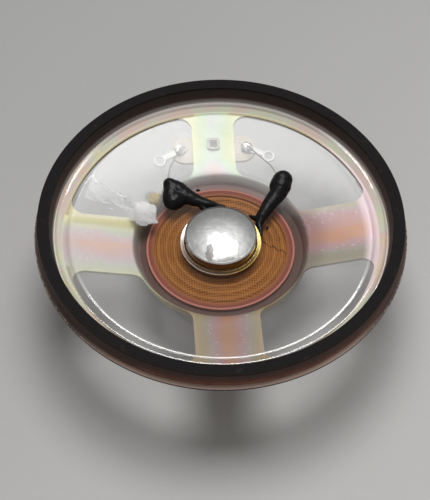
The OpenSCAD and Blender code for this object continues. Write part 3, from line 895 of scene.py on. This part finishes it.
disc_face = [(DISC_R, SEAT_Z + DISC)]
wave_steps = 16 * WAVES
for i in range(wave_steps + 1):
    r = WAVE_OUT_R + (WAVE_IN_R - WAVE_OUT_R) * i / wave_steps
    swell = WAVE_H / 2 * (1 - math.cos(2 * math.pi * WAVES * i / wave_steps))
    disc_face.append((r, SEAT_Z + DISC + swell))
disc_face += [(FORMER_R + 0.12, SEAT_Z + DISC + 0.12), (FORMER_R + 0.1, SEAT_Z + NECK)]
disc = turned("suspension_cloth", thick(disc_face, DISC * 0.9)[::-1], 256)
smooth(disc, 40)
cloth = Finish("woven_cloth")
warp = (cloth.x * (math.pi / THREAD)).wave()
weft = (cloth.y * (math.pi / THREAD)).wave()
threads = abs(warp * weft)
resin = cloth.mottle(2.4, 4.0)
stain = cloth.mottle(7, 2.0)
wave_pitch = (WAVE_OUT_R - WAVE_IN_R) / WAVES
troughs = ((cloth.radius - WAVE_OUT_R) * (2 * math.pi / wave_pitch) + math.pi / 2).wave()
# The waves' troughs are painted darker and their crests lighter, as painted shade and highlight.
trough_shade = cloth.step(troughs, 0.6, 0.98)
crest_highlight = cloth.step(-troughs, 0.7, 0.98)
cloth_tone = cloth.ramp(
    threads * 0.5 + resin * 0.35 + 0.06,
    [(0.1, (0.13, 0.040, 0.008)), (0.45, (0.31, 0.115, 0.023)), (0.85, (0.54, 0.24, 0.060))],
)
crack_run = cloth.y - CRACK_AT[1] + (cloth.x - CRACK_AT[0]) * CRACK_FALL
crack_run = crack_run + (cloth.mottle(1.2, 3.0) - 0.5) * 1.6
crack = cloth.step(-abs(crack_run), -0.24, -0.08) * cloth.step(cloth.x, 8.4, 9.4)
cloth_tone = cloth.layered(
    cloth_tone,
    (cloth.step(stain, 0.4, 0.7) * 0.3, (0.35, 0.15, 0.045)),
    (trough_shade * 0.25, (0.14, 0.04, 0.012)),
    (crest_highlight * 0.14, (0.50, 0.24, 0.10)),
    (crack * 0.9, (0.06, 0.018, 0.007)),
)
cloth.paint(
    Base_Color=cloth_tone,
    Roughness=0.6 + resin * 0.2,
    Normal=cloth.bump(threads + resin * 0.4 - crack, 0.05),
    Specular_IOR_Level=0.15,
)
cloth.dress(disc)
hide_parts("suspension_disc")
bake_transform(disc)

# Disc edge ring
# A thin ring of maroon board, die-cut and glued on the cloth's flat edge, which it holds
# down on the basket's seat.
EDGE_RING = 0.4

edge_z = SEAT_Z + DISC
edge_ring = band("maroon_ring", WAVE_OUT_R, DISC_R, edge_z, edge_z + EDGE_RING, 0.1, 3)
smooth(edge_ring, 40)
maroon = Finish("maroon_board")
felt = maroon.mottle(0.4, 4.0)
worn_edge = maroon.beyond(DISC_R - 0.55, DISC_R - 0.3)
maroon_tone = maroon.blend(felt, (0.13, 0.030, 0.020), (0.26, 0.075, 0.055))
resin_edge = maroon.within(WAVE_OUT_R, DISC_R - 0.6)
maroon_tone = maroon.blend(resin_edge * 0.65, maroon_tone, (0.33, 0.125, 0.04))
maroon_tone = maroon.blend(worn_edge * (0.5 + felt * 0.4), maroon_tone, (0.55, 0.22, 0.17))
maroon.paint(
    Base_Color=maroon_tone,
    Roughness=0.7,
    Normal=maroon.bump(felt, 0.04),
    Specular_IOR_Level=0.12,
)
maroon.dress(edge_ring)
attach(edge_ring, "frame")
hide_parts("disc_edge_ring")

# Terminal board
# A lozenge of tan resin-bonded paper under the back leg, punched with a hole for the rivet
# and one for each lug's tail. It follows the dish's slope.
BOARD_L = 18.6
BOARD_W = 6.2
BOARD = 0.9
BOARD_Y = 24.7
DISH_SLOPE = math.atan2(DISH_OUT_Z - DISH_IN_Z, DISH_OUT_R - DISH_IN_R)
SOLDER_X = 7.3
RIVET_OUT = 0.8
GAP = 0.02


def dish_z(r):
    """Height of the dish's face."""
    return DISH_OUT_Z - (DISH_OUT_R - r) * math.tan(DISH_SLOPE)


def bevelled(piece, width, segments=2, angle=40):
    """Rounds a piece's sharp edges."""
    limit = math.radians(angle)
    size = {"width": width * MM, "segments": segments}
    modified(piece, "BEVEL", limit_method="ANGLE", angle_limit=limit, **size)


def settle(piece, place):
    """Puts a piece made at the origin in its place on the speaker."""
    pick(piece)
    piece.matrix_world = place
    bpy.ops.object.transform_apply(location=True, rotation=True, scale=True)


def shifted(x, y, z, turn=0.0):
    """A place on the board, turned about the board's upright."""
    return Matrix.Translation(Vector((x, y, z)) * MM) @ Matrix.Rotation(turn, 4, "Z")


board_z = dish_z(BOARD_Y) - (SHEET + GAP) / math.cos(DISH_SLOPE)
board_place = shifted(0, BOARD_Y, board_z) @ Matrix.Rotation(DISH_SLOPE, 4, "X")
end_r = BOARD_W / 2
end_x = BOARD_L / 2 - end_r
board_outline = arc((end_x, 0), end_r, -90, 90, 32) + arc((-end_x, 0), end_r, 90, 270, 32)
board = plate("terminal_board_sheet", board_outline, -BOARD, 0)
bevelled(board, 0.1)
for x, y, r in ((0, RIVET_OUT, 0.92), (SOLDER_X, 0, 0.8), (-SOLDER_X, 0, 0.8)):
    cut(board, plate("punch", arc((x, y), r, 0, 360, 32)[:-1], -2, 2))
smooth(board, 30)
settle(board, board_place)
laminate = Finish("resin_paper")
plies = (laminate.z * 9 + laminate.y * -2.1).wave()
fibres = laminate.mottle(0.3, 4.0, laminate.stretched((0.3, 1, 1)))
resin_tone = laminate.ramp(
    fibres * 0.8 + plies * 0.08,
    [(0.2, (0.38, 0.32, 0.25)), (0.5, (0.50, 0.44, 0.36)), (0.8, (0.60, 0.55, 0.47))],
)
laminate.paint(
    Base_Color=resin_tone, Roughness=0.35 + fibres * 0.2, Normal=laminate.bump(fibres, 0.02)
)
laminate.dress(board)
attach(board, "frame")
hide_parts("terminal_board")

# Board rivet
# A plated steel rivet with a rounded square head, struck with a square hollow, which holds
# the board on the back leg. Its round foot is upset under the board.
RIVET_W = 2.8
RIVET_HEAD = 0.4
RIVET_RIM = 0.62
RIVET_SINK = 0.2
RIVET_SHANK = 0.9
RIVET_FOOT = 1.35
RIVET_FOOT_H = 0.4
RIVET_Y = BOARD_Y + 0.55

square_r = RIVET_W / 4
square = []
for turn, (a, b) in enumerate(((1, 1), (-1, 1), (-1, -1), (1, -1))):
    corner = (a * (RIVET_W / 2 - square_r), b * (RIVET_W / 2 - square_r))
    square += arc(corner, square_r, 90 * turn, 90 * turn + 90, 8)
head_z = SHEET + 2 * GAP + (RIVET_W / 2) ** 2 / (2 * BOARD_Y) * math.tan(DISH_SLOPE)
rivet = plate("clinch_rivet", square, head_z, head_z + RIVET_HEAD)
bpy.context.view_layer.objects.active = rivet
bpy.ops.object.mode_set(mode="EDIT")
bpy.ops.mesh.select_mode(type="FACE")
bpy.ops.mesh.select_all(action="DESELECT")
bpy.ops.object.mode_set(mode="OBJECT")
for face in rivet.data.polygons:
    face.select = face.normal.z > 0.9
bpy.ops.object.mode_set(mode="EDIT")
bpy.ops.mesh.inset(thickness=RIVET_RIM * MM)
bpy.ops.mesh.inset(thickness=0.1 * MM, depth=-RIVET_SINK * MM)
bpy.ops.mesh.select_mode(type="VERT")
bevelled(rivet, 0.09, 3, 50)
under_board = -BOARD - GAP
foot_line = [(0, head_z + 0.1), (RIVET_SHANK, head_z + 0.1), (RIVET_SHANK, under_board)]
foot_line += [(RIVET_FOOT, under_board, 0.1)]
foot_line += [(RIVET_FOOT * 0.8, under_board - RIVET_FOOT_H, 0.15)]
foot_line += [(0, under_board - RIVET_FOOT_H)]
foot = turned("rivet_foot", rounded(foot_line, 3), 48)
pick(rivet)
foot.select_set(True)
bpy.ops.object.join()
smooth(rivet, 35)
settle(rivet, board_place @ shifted(0, RIVET_OUT, 0))
plated = Finish("plated_rivet")
scuff = plated.mottle(0.5, 4.0)
plated_tone = plated.blend(scuff, (0.10, 0.10, 0.085), (0.26, 0.25, 0.22))
off_centre = abs(plated.x).most(abs(plated.y - RIVET_Y))
# The square hollow is painted near black, as painted shade.
hollow_shade = plated.step(-off_centre, -0.74, -0.6)
plated.paint(
    Base_Color=plated.blend(hollow_shade * 0.8, plated_tone, (0.02, 0.02, 0.017)),
    Metallic=0.85,
    Roughness=0.42 + scuff * 0.2,
    Normal=plated.bump(scuff, 0.03),
)
plated.dress(rivet)
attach(rivet, "frame")
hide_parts("board_rivet")

# Lugs
# Two tinned brass lugs, stamped from thin strip: a strap from the solder joint to a round
# eye past the board's end. They splay towards the hub.
LUG = 0.3
LUG_L = 5.1
LUG_EYE = 2.9
LUG_HOLE = 1.6
LUG_TURN = math.radians(27)
SOLDER_D = 2.6

tin = Finish("tinned_brass")
dull = tin.mottle(0.8, 4.0)
tin.paint(
    Base_Color=tin.blend(dull, (0.24, 0.24, 0.23), (0.42, 0.415, 0.40)),
    Metallic=0.9,
    Roughness=0.43 + dull * 0.2,
    Normal=tin.bump(dull, 0.02),
)
lug_eye_line = arc((LUG_L, 0), LUG_EYE / 2, 156, -156, 48)
lug_pad_line = arc((0, 0), SOLDER_D / 2, -44, -316, 40)
for name, side in (("left", -1), ("right", 1)):
    lug_outline = [(side * x, y) for x, y in lug_eye_line + lug_pad_line]
    lug = plate("lug_strap_" + name, lug_outline, GAP, GAP + LUG)
    cut(lug, plate("punch", arc((side * LUG_L, 0), LUG_HOLE / 2, 0, 360, 40)[:-1], -1, 1))
    bevelled(lug, 0.07)
    smooth(lug, 30)
    settle(lug, board_place @ shifted(side * SOLDER_X, 0, 0, -side * LUG_TURN))
    tin.dress(lug)
    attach(lug, "frame")
    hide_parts("lug_" + name)

# Solder joints
# A lumpy dome of tin solder on each lug, melted on by hand. It set round the end of the
# lead and holds it.
SOLDER_H = 0.8

solder = Finish("tin_solder")
frost = solder.mottle(0.45, 4.0)
bright = solder.step(frost, 0.38, 0.5)
solder.paint(
    Base_Color=solder.blend(bright, (0.16, 0.155, 0.15), (0.85, 0.84, 0.82)),
    Metallic=0.6,
    Roughness=0.15 + frost * 0.3,
    Normal=solder.bump(frost, 0.12),
)
for name, side in (("left", -1), ("right", 1)):
    set_down()
    bpy.ops.mesh.primitive_uv_sphere_add(segments=64, ring_count=48, radius=SOLDER_D / 2 * MM)
    joint = bpy.context.object
    joint.name = "solder_dome_" + name
    bpy.ops.object.mode_set(mode="EDIT")
    bpy.ops.transform.resize(value=(1, 1, 2 * SOLDER_H / SOLDER_D))
    bpy.ops.mesh.bisect(
        plane_co=(0, 0, 0), plane_no=(0, 0, 1), clear_inner=True, use_fill=True
    )
    settle(joint, board_place @ shifted(side * SOLDER_X, 0, GAP + LUG))
    lumpy(joint, 0.8, 0.55)
    smooth(joint, 60)
    solder.dress(joint)
    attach(joint, "frame")
    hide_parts("solder_" + name)

# Leads
# Two flexible leads of three twisted tinsel strands, which run from the solder joints under
# the film to the glue, where their ends are fixed.
LEAD_D = 0.4
STRANDS = 3
STRAND_R = 0.24 * LEAD_D
STRAND_OFF = 0.26 * LEAD_D
TWIST = 1.3
# A route's spots are (share of the way, bow aside, depth below the film), the last two in
# lead thicknesses. It ends in the glue at (degrees round, collar radii out).
LEFT_ROUTE = ((0.11, 0.1, 2), (0.25, 0.8, 1.5), (0.42, 1.8, 1), (0.57, 2.4, 0.75))
LEFT_ROUTE += ((0.7, 2.4, 0.75), (0.82, 1.9, 0.75), (0.92, 1, 0.85))
RIGHT_ROUTE = ((0.1, 0, 2), (0.25, 0, 1.25), (0.4, 0.5, 1), (0.55, 1, 0.85))
RIGHT_ROUTE += ((0.68, 1, 0.85), (0.79, 0.3, 1), (0.88, -0.4, 1))
LEFT_END = (124.1, 2.07)
RIGHT_END = (45.2, 2.36)


def lead_line(side, route, end):
    """The lead's way from its solder joint to the glue's outer end."""
    over_board = (LUG + 3 * GAP + SOLDER_H) * math.cos(DISH_SLOPE) + LEAD_D / 2
    start = Vector((side * SOLDER_X, BOARD_Y - SOLDER_D / 5))
    turn = math.radians(end[0])
    way = Vector((math.cos(turn), math.sin(turn))) * COLLAR_R * end[1] - start
    aside = Vector((-way.y, way.x)).normalized() * side * LEAD_D
    points = [Vector((*start, board_z + over_board))]
    for share, bow, depth in route:
        spot = start + way * share + aside * bow
        points.append(Vector((*spot, cone_z(spot.length) - FILM - depth * LEAD_D)))
    points = [2 * points[0] - points[1], *points, 2 * points[-1] - points[-2]]
    line = []
    for a, b, c, d in zip(points, points[1:], points[2:], points[3:]):
        for i in range(14):
            t = i / 14
            line.append(
                0.5 * (2 * b + (c - a) * t + (2 * a - 5 * b + 4 * c - d) * t * t)
                + 0.5 * (3 * b - a - 3 * c + d) * t**3
            )
    return line + [points[-2]]


def strung(name, thickness, resolution, lines):
    """Round strings as one piece: a line is a row of places, each with its swelling."""
    curve = bpy.data.curves.new(name, "CURVE")
    curve.dimensions = "3D"
    curve.bevel_depth = thickness * MM
    curve.bevel_resolution = resolution
    curve.use_fill_caps = True
    for line in lines:
        string = curve.splines.new("POLY")
        string.points.add(len(line) - 1)
        for point, (place, swelling) in zip(string.points, line):
            point.co = (*(place * MM), 1)
            point.radius = swelling
    piece = bpy.data.objects.new(name, curve)
    scene.collection.objects.link(piece)
    pick(piece)
    bpy.ops.object.convert(target="MESH")
    return bpy.context.object


tinsel = Finish("tinsel_strands")
glint = tinsel.mottle(0.12, 2.0)
tinsel.paint(
    Base_Color=tinsel.blend(glint, (0.07, 0.065, 0.06), (0.26, 0.25, 0.23)),
    Metallic=0.8,
    Roughness=0.4 + glint * 0.2,
)
lead_runs = (("left", -1, LEFT_ROUTE, LEFT_END), ("right", 1, RIGHT_ROUTE, RIGHT_END))
for name, side, route, end in lead_runs:
    line = lead_line(side, route, end)
    twine = []
    for k in range(STRANDS):
        strand = []
        run = 0.0
        for i, point in enumerate(line):
            ahead = line[min(i + 1, len(line) - 1)] - line[max(i - 1, 0)]
            run += (point - line[max(i - 1, 0)]).length
            u = ahead.cross(Vector((0, 0, 1))).normalized()
            v = u.cross(ahead).normalized()
            a = 2 * math.pi * (run / TWIST + k / STRANDS)
            strand.append((point + (u * math.cos(a) + v * math.sin(a)) * STRAND_OFF, 1))
        twine.append(strand)
    lead = strung("lead_twine_" + name, STRAND_R, 2, twine)
    smooth(lead, 60)
    tinsel.dress(lead)
    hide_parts("lead_" + name)
    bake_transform(lead)

# Glue beads
# Black rubber glue, laid thick over the leads where they come through the film and run to
# the collar. It slumped before it set, so it is lumpy and glossy.
BLOB_SINK = 0.25
VOXEL = 0.13
# A run's spots are (degrees round, collar radii out, thickness in collar radii).
LEFT_GLUE = ((*LEFT_END, 0.19), (122.2, 1.88, 0.25), (118.7, 1.58, 0.22))
LEFT_GLUE += ((111.4, 1.36, 0.17), (101.9, 1.21, 0.13), (91.1, 1.12, 0.08), (81, 1.11, 0.03))
LEFT_DROP = ((132.6, 1.67, 0.25), (129.1, 1.68, 0.27), (121, 1.66, 0.2))
LEFT_SIDE = ((125, 2.0, 0.2), (128.5, 1.86, 0.23), (131.3, 1.74, 0.25))
LEFT_FOOT = ((107.9, 1.07, 0.06), (110, 1.14, 0.08), (109, 1.25, 0.1))
LEFT_SPECK = ((107.2, 1.63, 0.045), (106, 1.62, 0.035))
RIGHT_GLUE = ((*RIGHT_END, 0.27), (42.8, 2.16, 0.29), (40.2, 1.98, 0.23), (38, 1.6, 0.19))
RIGHT_GLUE += ((32.6, 1.25, 0.16), (26.2, 1.09, 0.1), (9, 1.03, 0.045))
RIGHT_FOOT = ((44.7, 1.09, 0.04), (39, 1.1, 0.08), (33, 1.2, 0.12))
RIGHT_SPECK = ((17.2, 1.25, 0.045), (15.5, 1.22, 0.04))


def glue_bead(name, runs):
    """Strings with round ends along each run, welded into one skin and cut off at the film."""
    strings = []
    for run in runs:
        spots = []
        for turn, reach, size in run:
            r = COLLAR_R * reach
            a = math.radians(turn)
            thickness = COLLAR_R * size
            place = Vector((r * math.cos(a), r * math.sin(a), cone_z(r) - BLOB_SINK * thickness))
            spots.append((place, thickness))
        (first, start), (last, end) = spots[0], spots[-1]
        out = (first - spots[1][0]).normalized()
        on = (last - spots[-2][0]).normalized()
        for k in range(8):
            t = math.radians(10 + 10 * k)
            spots.insert(k, (first + out * start * math.cos(t), start * math.sin(t)))
            spots.insert(len(spots) - k, (last + on * end * math.cos(t), end * math.sin(t)))
        strings.append(spots)
    bead = strung(name, 1, 8, strings)
    modified(bead, "REMESH", mode="VOXEL", voxel_size=VOXEL * MM)
    modified(bead, "SMOOTH", factor=0.5, iterations=14)
    lumpy(bead, 2.6, 0.4)
    clear_r = CAP_R + CAP_OVER + GAP
    below = [(0, 12), (28, 12), (28, cone_z(28)), (COLLAR_R + GAP, cone_z(COLLAR_R + GAP))]
    below += [(COLLAR_R + GAP, foot_z(COLLAR_R)), (CAP_R + 0.6, foot_z(CAP_R + 0.6) + GAP)]
    below += [(clear_r, foot_z(CAP_R) + 0.6), (clear_r, FORMER_TOP + CAP), (0, FORMER_TOP + CAP)]
    cut(bead, turned("under_film", below, 128))
    smooth(bead, 50)
    return bead


rubber = Finish("black_glue")
skin = rubber.mottle(1.5, 3.0)
pits = rubber.mottle(0.3, 3.0)
rubber.paint(
    Base_Color=rubber.blend(skin, (0.003, 0.003, 0.0035), (0.009, 0.0085, 0.010)),
    Roughness=0.24 + skin * 0.16,
    Normal=rubber.bump(pits, 0.01),
    Specular_IOR_Level=0.16,
)
glue_runs = (
    ("left", (LEFT_GLUE, LEFT_DROP, LEFT_SIDE, LEFT_FOOT, LEFT_SPECK)),
    ("right", (RIGHT_GLUE, RIGHT_FOOT, RIGHT_SPECK)),
)
for name, runs in glue_runs:
    bead = glue_bead("glue_bead_" + name, runs)
    rubber.dress(bead)
    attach(bead, "cone_assembly")
    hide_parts("glue_" + name)

# Adhesive dab
# A drop of amber adhesive, spilt when the speaker was glued, which ran down and dried on
# the shoulder of the dish.
DAB_TURN = math.radians(137.5)
DAB_R = 1.5
DAB_SINK = 0.1

set_down()
dab_out = DISH_IN_R - DAB_SINK
dab_x = dab_out * math.cos(DAB_TURN)
dab_y = dab_out * math.sin(DAB_TURN)
bpy.ops.mesh.primitive_uv_sphere_add(segments=48, ring_count=32, radius=DAB_R * MM)
dab = bpy.context.object
dab.name = "amber_dab"
settle(dab, shifted(dab_x, dab_y, DISH_IN_Z - DAB_SINK))
lumpy(dab, 0.9, 0.4)
shoulder = [(10, 10), (25, 10), (25, dish_z(25)), (DISH_IN_R + 0.1, dish_z(DISH_IN_R + 0.1))]
shoulder += [(DISH_IN_R - 0.45, DISH_IN_Z - 0.15), (DISH_IN_R - 0.8, DISH_IN_Z - 0.9)]
shoulder += [(10, 14)]
cut(dab, turned("under_dab", shoulder, 128))
smooth(dab, 50)
drop = Finish("dried_adhesive")
cloudy = drop.mottle(0.8, 3.0)
drop.paint(
    Base_Color=drop.blend(cloudy, (0.18, 0.11, 0.01), (0.52, 0.39, 0.07)),
    Roughness=0.25 + cloudy * 0.2,
    Normal=drop.bump(cloudy, 0.05),
    Coat_Weight=0.3,
)
drop.dress(dab)
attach(dab, "frame")
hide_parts("adhesive_dab")

# Magnet pot
# A cup drawn from steel and zinc plated, with the magnet inside. Its draw leaves a soft
# edge round the bottom and fine rings of the lathe on the floor.
POT_R = 12.0
POT_H = 10.6
PLATE_R = 10.0
PLATE_Z = 8.6
POT_FLOOR = 2.2
LEDGE = 0.6
DIMPLE = 0.12

pot_line = [(0, DIMPLE), (1.2, DIMPLE), (1.6, 0, 0.2), (POT_R, 0, 1.0), (POT_R, POT_H, 0.2)]
pot_line += [(PLATE_R, POT_H, 0.15), (PLATE_R, PLATE_Z), (PLATE_R - LEDGE, PLATE_Z)]
pot_line += [(PLATE_R - LEDGE, POT_FLOOR), (0, POT_FLOOR)]
pot = turned("drawn_pot", rounded(pot_line, 6), 192)
smooth(pot, 30)
zinc = Finish("zinc_plate")
lathe = (zinc.radius * 18).wave() * zinc.step(-zinc.z, -0.3, -0.05)
drawn_marks = zinc.mottle(0.6, 3.0, zinc.stretched((1, 1, 0.08)))
bloom = zinc.mottle(5, 3.0)
zinc_tone = zinc.ramp(
    bloom,
    [(0.3, (0.36, 0.37, 0.36)), (0.5, (0.46, 0.45, 0.40)), (0.7, (0.50, 0.46, 0.34))],
)
zinc.paint(
    Base_Color=zinc_tone,
    Metallic=0.9,
    Roughness=0.3 + drawn_marks * 0.25,
    Normal=zinc.bump(drawn_marks + lathe * 0.3, 0.02),
)
zinc.dress(pot)
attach(pot, "frame")
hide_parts("yoke_cup")

# Magnet and pole pieces
# A dark sintered magnet stands in the pot under a steel pole plate. A steel ring closes the
# pot's mouth, and four stakes upset from it hold the basket.
for node, name, dark, light, metal in (
    ("magnet", "sintered_magnet", (0.05, 0.05, 0.052), (0.09, 0.09, 0.092), 0.6),
    ("pole_plate", "pole_steel", (0.34, 0.34, 0.33), (0.48, 0.48, 0.46), 0.95),
    ("top_plate", "ring_steel", (0.34, 0.34, 0.33), (0.48, 0.48, 0.46), 0.95),
    ("basket_stakes", "stake_steel", (0.28, 0.28, 0.26), (0.44, 0.44, 0.40), 0.9),
):
    steel = Finish(name)
    marks = steel.mottle(0.7, 4.0)
    steel.paint(
        Base_Color=steel.blend(marks, dark, light),
        Metallic=metal,
        Roughness=0.35 + marks * 0.25,
        Normal=steel.bump(marks, 0.02),
    )
    steel.dress(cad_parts[node])

# Voice coil
# A tube of amber polyimide film carries a coil of copper wire in the magnet's gap. The wire
# is wound in one layer and baked with its red-brown enamel.
WIRE = 0.2

former = Finish("former_film")
former_marks = former.mottle(0.6, 3.0, former.stretched((1, 1, 0.2)))
former.paint(
    Base_Color=former.blend(former_marks, (0.30, 0.13, 0.025), (0.48, 0.24, 0.06)),
    Roughness=0.25 + former_marks * 0.2,
    Normal=former.bump(former_marks, 0.02),
)
former.dress(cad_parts["coil_former"])
copper = Finish("enamelled_wire")
# Each turn is painted lighter on its crown and darker between turns, as painted shade; the same
# waves make the wire's relief.
wire_relief_and_shade = (copper.z * (2 * math.pi / WIRE)).wave()
copper.paint(
    Base_Color=copper.blend(wire_relief_and_shade * 0.5 + 0.5, (0.16, 0.05, 0.02), (0.50, 0.20, 0.09)),
    Metallic=0.7,
    Roughness=0.3 + copper.mottle(0.8) * 0.15,
    Normal=copper.bump(wire_relief_and_shade, 0.08),
)
copper.dress(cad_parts["coil_winding"])
